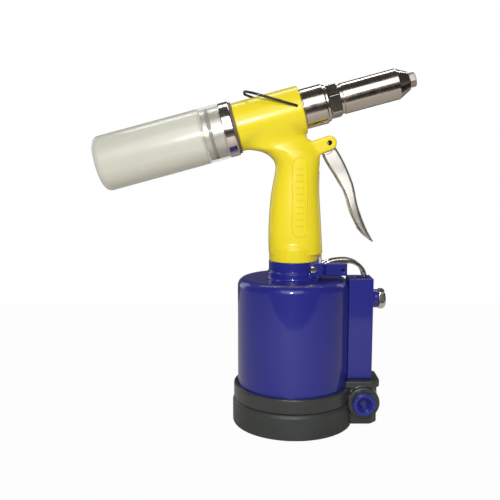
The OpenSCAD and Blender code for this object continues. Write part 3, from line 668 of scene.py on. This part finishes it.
def barrel_hexagon(flats, turn, back, front, corner, bore):
    """A field for a hexagon nut on the barrel, with its corners turned off at both ends."""
    def field(x, y, z):
        u, v = barrel(x, z)
        rho = np.hypot(v, y)
        crown = rho - flats / 2 / math.cos(math.pi / 6) + 0.1
        crown = crown + 1.5 * np.maximum(np.maximum(u - front + corner, back + corner - u), 0)
        body = meet(meet(hexagon(-v, y, flats, turn), crown, 0.4), band(u, back, front), 0.5)
        return cut(body, rho - bore, 0.3)
    return field


def barrel_box(back, front, r):
    """Corners of a box round a stretch of the barrel."""
    xs = [u * ALONG.x + s * r * ALONG.z for u in (back, front) for s in (-1, 1)]
    zs = [BARREL_Z + u * ALONG.z + s * r * ALONG.x for u in (back, front) for s in (-1, 1)]
    return (min(xs), -r, min(zs)), (max(xs), r, max(zs))


def make_nose():
    sleeve = turned([(10.8, 0, 0.2), (16, 0, 0.2), (16, 6.4, 0.1), (16.6, 6.4, 0.1), (16.6, 7.3, 0.1),
                     (17.2, 7.9, 0.3), (17.2, 27, 1.1), (12.5, 27, 0.2), (12.5, 20, 0.2), (10.8, 20, 0.2)])
    piece("sleeve", [on_barrel(sleeve)], NICKEL, "nickel_steel", "frame", "head_sleeve")
    washer = turned([(12.5, 27, 0.1), (15.8, 27, 0.5), (15.8, 29.3, 0.5), (12.5, 29.3, 0.1)])
    piece("washer", [on_barrel(washer)], NICKEL, "nickel_steel", "frame", "sleeve_washer")
    nut = skin(barrel_hexagon(26, 15, 29.3, 40, 1.5, 12.5), *barrel_box(29.3, 40, 15), 0.4)
    piece("nut", [nut], NICKEL, "nickel_steel", "frame", "lock_nut")
    housing = turned([(10.7, 20, 0.2), (12.5, 20, 0.2), (12.5, 42.2, 0.1), (13.3, 42.2, 0.5),
                      (13.3, 90.8, 0.6), (8, 101, 0.5), (5.1, 101, 0.2), (5.1, 92, 0.1), (10.7, 88, 0.1)])
    piece("nose", [on_barrel(housing)], NICKEL, "nickel_steel", "frame", "nose_housing")
    tip = skin(barrel_hexagon(12, 42, 101, 107, 0.9, 2.1), *barrel_box(101, 107, 7.5), 0.28)
    shank = turned([(2.1, 90, 0.1), (5.1, 90, 0.2), (5.1, 101.3, 0.1), (2.1, 101.3, 0.1)], 48)
    piece("tip", [tip, on_barrel(shank)], STEEL, "nickel_steel", "frame", "nosepiece")


# ---- collector --------------------------------------------------------------------


def make_collector():
    collar = turned([(6.05, -70, 0.1), (12, -70, 0.2), (12, -63, 0.1), (23.7, -63, 0.8),
                     (23.7, -54, 1.3), (15.95, -54, 0.1), (15.95, -50.5, 0.2), (13, -50.5, 0.2),
                     (13, -61, 0.3), (6.05, -61, 0.1)])
    piece("collar", [on_barrel(collar)], COLLAR, "nickel_steel", "frame", "rear_cap")
    gasket = turned([(16, -54, 0.1), (22.4, -54, 0.4), (22.4, -52, 0.4), (16, -52, 0.1)])
    piece("head_gasket", [on_barrel(gasket)], GASKET, "seal_rubber", "frame", "rear_gasket")
    adapter = turned([(12, -63, 0.1), (12, -70, 0.1), (8, -70, 0.1), (8, -76, 0.3), (12.5, -76, 0.3),
                      (13.5, -70.5, 0.3), (18.5, -70.5, 0.3), (19, -80, 0.3), (21.9, -80, 0.8),
                      (21.9, -75.6, 0.2), (19.4, -75.6, 0.1), (19.4, -72.4, 0.1), (21.9, -72.4, 0.2),
                      (21.9, -63, 0.1)])
    piece("adapter", [on_barrel(adapter)], LEVER, "alloy", "frame", "collector_adapter")
    squeezed = turned([(19.45, -75.5, 0.3), (22.1, -75.5, 0.8), (22.1, -72.5, 0.8), (19.45, -72.5, 0.3)])
    piece("squeezed_oring", [on_barrel(squeezed)], SEAL, "seal_rubber", "frame", "bottle_oring")
    mouth, end, wall = -63.3, -176, 2.4
    bottle = turned([(22.2, mouth, 0.6), (24, mouth, 0.8), (24.3, end, 6.0), (0, end, 0),
                     (0, end + wall, 0), (22.3, end + wall, 4.2)], 144, 10)
    piece("bottle", [on_barrel(bottle)], BOTTLE, "bottle_plastic", "bottle", "collector_bottle")


def make_hanger():
    """The wire bail, laid back over the head: two hooked ends, two legs and a round end."""
    half, reach, bend, hook, wire_r = 22.4, 45.5, 13.0, 4.4, 1.08
    lie = math.radians(30.6)           # its slope against the barrel
    side = [(0, half - hook), (0, half - 2.4), (-0.15, half - 1.1), (-0.7, half - 0.35), (-1.8, half)]
    side += [(-t, half) for t in np.linspace(4, reach - bend, 14)]
    side += [(-(reach - bend) - bend * math.sin(a), half - bend + bend * math.cos(a))
             for a in np.linspace(0.12, math.pi / 2, 14)]
    path = side + [(s, -y) for s, y in side[::-1]]
    points = []
    for s, y in path:
        # s is measured along the bail from its hinge, negative to the back
        u = HINGE_U + s * math.cos(lie)
        v = HINGE_V - s * math.sin(lie)
        points.append((u * ALONG.x - v * ALONG.z, y, BARREL_Z + u * ALONG.z + v * ALONG.x))
    piece("hanger", [tube(points, wire_r, 16)], WIRE, "wire_bronze", "hanger", "hanger_wire")


# ---- trigger and rod --------------------------------------------------------------

TRIGGER_OUTER = [(35, 246.7), (43.3, 232.8), (51.3, 214.2), (55, 197.4), (58.6, 187.3),
                 (64.4, 173.7), (69.9, 164.2)]
TRIGGER_INNER = [(69, 163.1), (62.1, 168.3), (55.1, 176.4), (49.8, 187.3), (46.8, 197.4),
                 (43.3, 206.8), (36.1, 219.5), (30, 228.8), (25.2, 237.4), (24.2, 245)]
TRIGGER = curve(TRIGGER_OUTER) + curve(TRIGGER_INNER)
WEB = 2.6                              # thickness of the lever behind its outer edge
CHANNEL = [(x - WEB, z - WEB * 0.4) for x, z in curve(TRIGGER_OUTER) if 176 < z < 243]
CHANNEL += [(40, 176), (20, 200), (20, 240)]


def trigger(x, y, z):
    wide = np.abs(y)
    half = 6.2 + 1.8 * fade(-z, -226, -190)
    pad = fade(-z, -196, -182)         # the finger pad at the lower end is round in section
    body = meet(outline(x, z, TRIGGER), wide - half, 2.6 + 1.6 * pad)
    body = join(body, meet(disc(x - TRIGGER_X, z - TRIGGER_Z, 5.6), wide - 6.2, 0.6), 1.5)
    hollow = 4.4 + 1.6 * fade(-z, -216, -208)
    body = cut(body, meet(outline(x, z, CHANNEL), wide - hollow, 1.2), 0.9)
    fork_top = z - 243.5 - 1.2 * np.maximum(x - 19.6, 0)
    fork = meet(capsule(x, z, (27, 245), (15.7, 241), 5.5, 2.5), fork_top, 0.8)
    body = join(body, meet(fork, np.abs(wide - 4.2) - 1.9, 0.6), 0.5)
    return cut(body, disc(x - TRIGGER_X, z - TRIGGER_Z, 2.05), 0.4)


def roll_pin(r, half, hole):
    """A hollow spring pin along local Z, with its ends set back and chamfered."""
    return turned([(hole, -half, 0.2), (r, -half, 0.35), (r, half, 0.35), (hole, half, 0.2)], 48)


def make_trigger():
    piece("trigger_casting", [skin(trigger, (12, -8.2, 162), (71, 8.2, 256), 0.5)], LEVER, "alloy",
          "trigger_lever", "trigger")
    # The steel pin is given the near-black painted shade of its hole.
    pin = facing(roll_pin(1.98, 9.4, 1.25), (TRIGGER_X, 0, TRIGGER_Z), (0, 1, 0))
    piece("trigger_roll_pin", [pin], PAINTED_PIN_SHADE, "plain_steel", "frame", "trigger_pin")
    foot, top, rod_r = 134.6, 246.3, 1.8
    lean = Vector((ROD_SLOPE, 0, 1)).normalized()
    length = (top - foot) / lean.z
    bar = turned([(0, 0, 0), (rod_r, 0, 0.4), (rod_r, length, 0.4), (0, length, 0)], 40)
    rod = facing(bar, (rod_x(foot), 0, foot), lean)
    # The rod wears the pale colour that paints in its bright reflection.
    piece("rod", [rod], ROD_PAINTED_REFLECTION, "nickel_steel", "rod_group", "trigger_rod")


# ---- rocker over the valve --------------------------------------------------------

ROCKER_TOP = [(22.6, 142.6), (32.3, 146.9), (41, 148.4), (49.1, 148.1), (57.4, 144.9), (62.8, 139.6),
              (65, 134.6), (64.6, 133.2)]
ROCKER_UNDER = [(60.6, 133.4), (60, 136.4), (57.4, 140.4), (52.2, 143.6), (47.6, 143.9), (46.9, 140.6)]
ROCKER = curve(ROCKER_TOP) + curve(ROCKER_UNDER) + arc(ROCKER_X, ROCKER_Z, 3.2, -5, -140, 6)
ROCKER += [(33, 141.2), (25.2, 138.1)]
ROCKER_INSIDE = [(x - 0.3, z - 1.4) for x, z in curve(ROCKER_TOP) if 30 < x < 59] + [(59, 130), (30, 130)]
LUG = arc(LUG_X + 1.5, LUG_Z - 0.2, 6.2, 90, 270, 12) + [(26.6, 133.8), (26.6, 144.7), (24, 146.3)]
SIDE_PLAN = [(12, 15.1), (23.4, 15.1), (27, 8.2), (47, 8.2), (47, 10.2), (28.3, 10.2), (24.7, 17.1),
             (12, 17.1)]


def bracket(x, y, z):
    side = np.minimum(outline(x, z, LUG), np.maximum(band(x, 26.4, 47), band(z, 133.8, 144.7)))
    body = meet(outline(x, np.abs(y), SIDE_PLAN), side, 0.9)
    web = meet(meet(band(x, 36, 47), np.abs(y) - 9, 0.5), band(z, 133.8, 135.2), 0.5)
    return cut(join(body, web, 0.8), disc(x - ROCKER_X, z - ROCKER_Z, 1.65), 0.4)


def rocker(x, y, z):
    wide = np.abs(y)
    half = 6.5 - 2.9 * fade(x, 54.5, 58.5)
    body = meet(outline(x, z, ROCKER), wide - half, 1.1)
    body = join(body, meet(disc(x - 24.2, z - 140, 2.0), wide - 6.5, 0.5), 0.6)
    body = join(body, meet(disc(x - 62.6, z - 133.7, 1.3), wide - 3.6, 0.5), 0.6)
    body = cut(body, meet(outline(x, z, ROCKER_INSIDE), wide - half + 1.4, 0.8), 0.4)
    body = cut(body, meet(band(x, 10, 32), wide - 2.3, 0.6), 0.5)
    return cut(body, disc(x - ROCKER_X, z - ROCKER_Z, 1.65), 0.3)


def make_rocker():
    sheet = skin(bracket, (11, -17.2, 133.5), (47.2, 17.2, 146.8), 0.42)
    piece("bracket", [sheet], BLUE, "blue_paint", "frame", "rocker_bracket")
    lever = skin(rocker, (22, -6.6, 132), (65.6, 6.6, 148.8), 0.36)
    piece("rocker", [lever], POLISHED, "nickel_steel", "rocker", "rocker_lever")
    # The steel pin is given the near-black painted shade of its hole.
    pin = facing(roll_pin(1.58, 9.9, 0.9), (ROCKER_X, 0, ROCKER_Z), (0, 1, 0))
    piece("rocker_roll_pin", [pin], PAINTED_PIN_SHADE, "plain_steel", "frame", "rocker_pin")
    screw = turned([(0, -8, 0), (1.95, -8, 0.3), (1.95, 0, 0.1), (3.6, 0, 0.1), (3.6, 0.7, 0.3),
                    (2.7, 1.75, 0.9), (0, 2.1, 0)], 48)
    lug_face = 17.1
    screws = [facing(screw, (LUG_X, side * lug_face, LUG_Z), (0, side, 0)) for side in (-1, 1)]
    piece("lug_screws", screws, POLISHED, "nickel_steel", "frame", "bracket_screws")


# ---- CAD nodes that are shown as they are -----------------------------------------

KEPT = {
    SEAL: ("floor_bumper", "cylinder_gasket", "ram_seal", "piston_seal", "sleeve_seal",
           "oil_piston_seal", "tube_seal", "spool_seals", "plug_seal"),
    STEEL: ("ram_gland", "ram_rod", "piston_nut", "oil_piston", "jaw_case", "jaws", "jaw_pusher",
            "jaw_spring", "return_spring", "rod_nuts", "tube_screws", "valve_spring"),
    ALLOY: ("air_piston",),
    BRASS: ("tail_tube", "stem_gland", "valve_spool"),
}


def dress_nodes():
    for look, names in KEPT.items():
        for name in names:
            for place in frame["nodes"][name].material_slots:
                place.material = look


# ---- studio -----------------------------------------------------------------------


def softbox(name, place, aim, width, height, power):
    """A rectangular light at place that faces aim and that the camera doesn't see."""
    light = bpy.data.lights.new(name, "AREA")
    light.shape = "RECTANGLE"
    light.size, light.size_y = width, height
    light.energy = power
    obj = bpy.data.objects.new(name, light)
    obj.location = place
    obj.rotation_euler = (Vector(aim) - Vector(place)).to_track_quat("-Z", "Y").to_euler()
    obj.visible_camera = False
    bpy.context.scene.collection.objects.link(obj)


def make_floor(name, x, y, z, colour, white):
    """A sheet over the ranges x and y. To the camera it is white by the share given, and to the
    light that falls on the object it has its own colour."""
    sheet = bpy.data.meshes.new(name)
    corners = [(x[0], y[0], z), (x[1], y[0], z), (x[1], y[1], z), (x[0], y[1], z)]
    sheet.from_pydata(corners, [], [(0, 1, 2, 3)])
    paper = finish(name + "_paper", colour, 0.7, tint=0.01, patch=400, grain=3)
    nt = paper.node_tree
    glow = nt.nodes.new("ShaderNodeEmission")
    seen = nt.nodes.new("ShaderNodeMath")
    seen.operation = "MULTIPLY"
    seen.inputs[1].default_value = white
    mix = nt.nodes.new("ShaderNodeMixShader")
    nt.links.new(nt.nodes.new("ShaderNodeLightPath").outputs["Is Camera Ray"], seen.inputs[0])
    nt.links.new(seen.outputs[0], mix.inputs["Fac"])
    nt.links.new(nt.nodes["Principled BSDF"].outputs["BSDF"], mix.inputs[1])
    nt.links.new(glow.outputs["Emission"], mix.inputs[2])
    nt.links.new(mix.outputs["Shader"], nt.nodes["Material Output"].inputs["Surface"])
    sheet.materials.append(paper)
    ground = bpy.data.objects.new(name, sheet)
    bpy.context.scene.collection.objects.link(ground)


def make_world():
    """White to the camera. To reflections and light, a dim warm room, darkest overhead."""
    world = bpy.data.worlds.new("studio")
    world.use_nodes = True
    nt = world.node_tree
    seen = nt.nodes["Background"]
    seen.inputs["Color"].default_value = (1, 1, 1, 1)
    room = nt.nodes.new("ShaderNodeBackground")
    parts = nt.nodes.new("ShaderNodeSeparateXYZ")
    nt.links.new(nt.nodes.new("ShaderNodeTexCoord").outputs["Generated"], parts.inputs["Vector"])
    ramp = nt.nodes.new("ShaderNodeValToRGB")
    ramp.color_ramp.elements[0].color = (0.14, 0.125, 0.11, 1)
    ramp.color_ramp.elements[1].color = (0.05, 0.05, 0.045, 1)
    ramp.color_ramp.elements[1].position = 0.35
    nt.links.new(parts.outputs["Z"], ramp.inputs["Fac"])
    nt.links.new(ramp.outputs["Color"], room.inputs["Color"])
    mix = nt.nodes.new("ShaderNodeMixShader")
    nt.links.new(nt.nodes.new("ShaderNodeLightPath").outputs["Is Camera Ray"], mix.inputs["Fac"])
    nt.links.new(room.outputs["Background"], mix.inputs[1])
    nt.links.new(seen.outputs["Background"], mix.inputs[2])
    nt.links.new(mix.outputs["Shader"], nt.nodes["World Output"].inputs["Surface"])
    bpy.context.scene.world = world


def make_studio():
    scene = bpy.context.scene
    scene.view_settings.view_transform = "Standard"
    camera = bpy.data.cameras.new("camera")
    camera.lens, camera.sensor_width = 49.23, 36
    view = bpy.data.objects.new("camera", camera)
    view.location = (-0.0385, -0.602, 0.2354)
    downward = 7.57                    # degrees that the camera looks below level
    view.rotation_euler = (math.radians(90 - downward), 0, 0)
    scene.collection.objects.link(view)
    scene.camera = view
    make_floor("floor", (-4, 4), (-4, 4), -0.001, (0.05, 0.045, 0.04), 1.0)
    make_floor("table", (-0.7, 0.7), (-0.42, 0.5), 0.0, (0.70, 0.66, 0.60), 0.97)
    make_world()
    centre = (0.0, 0.0, 0.22)
    softbox("flash", (-0.095, -0.75, 0.42), centre, 0.07, 0.05, 3.9)
    softbox("window", (-0.1, -0.95, 0.85), centre, 0.9, 0.75, 4.2)
    softbox("overhead", (0.0, 0.5, 1.2), centre, 1.2, 0.22, 5.0)
    softbox("rear_left", (-0.95, 0.85, 0.45), centre, 0.6, 1.0, 2.4)
    softbox("rear_right", (0.95, 0.85, 0.45), centre, 0.6, 1.0, 2.4)


make_base()
make_valve()
make_grip()
make_nose()
make_collector()
make_hanger()
make_trigger()
make_rocker()
dress_nodes()
make_studio()
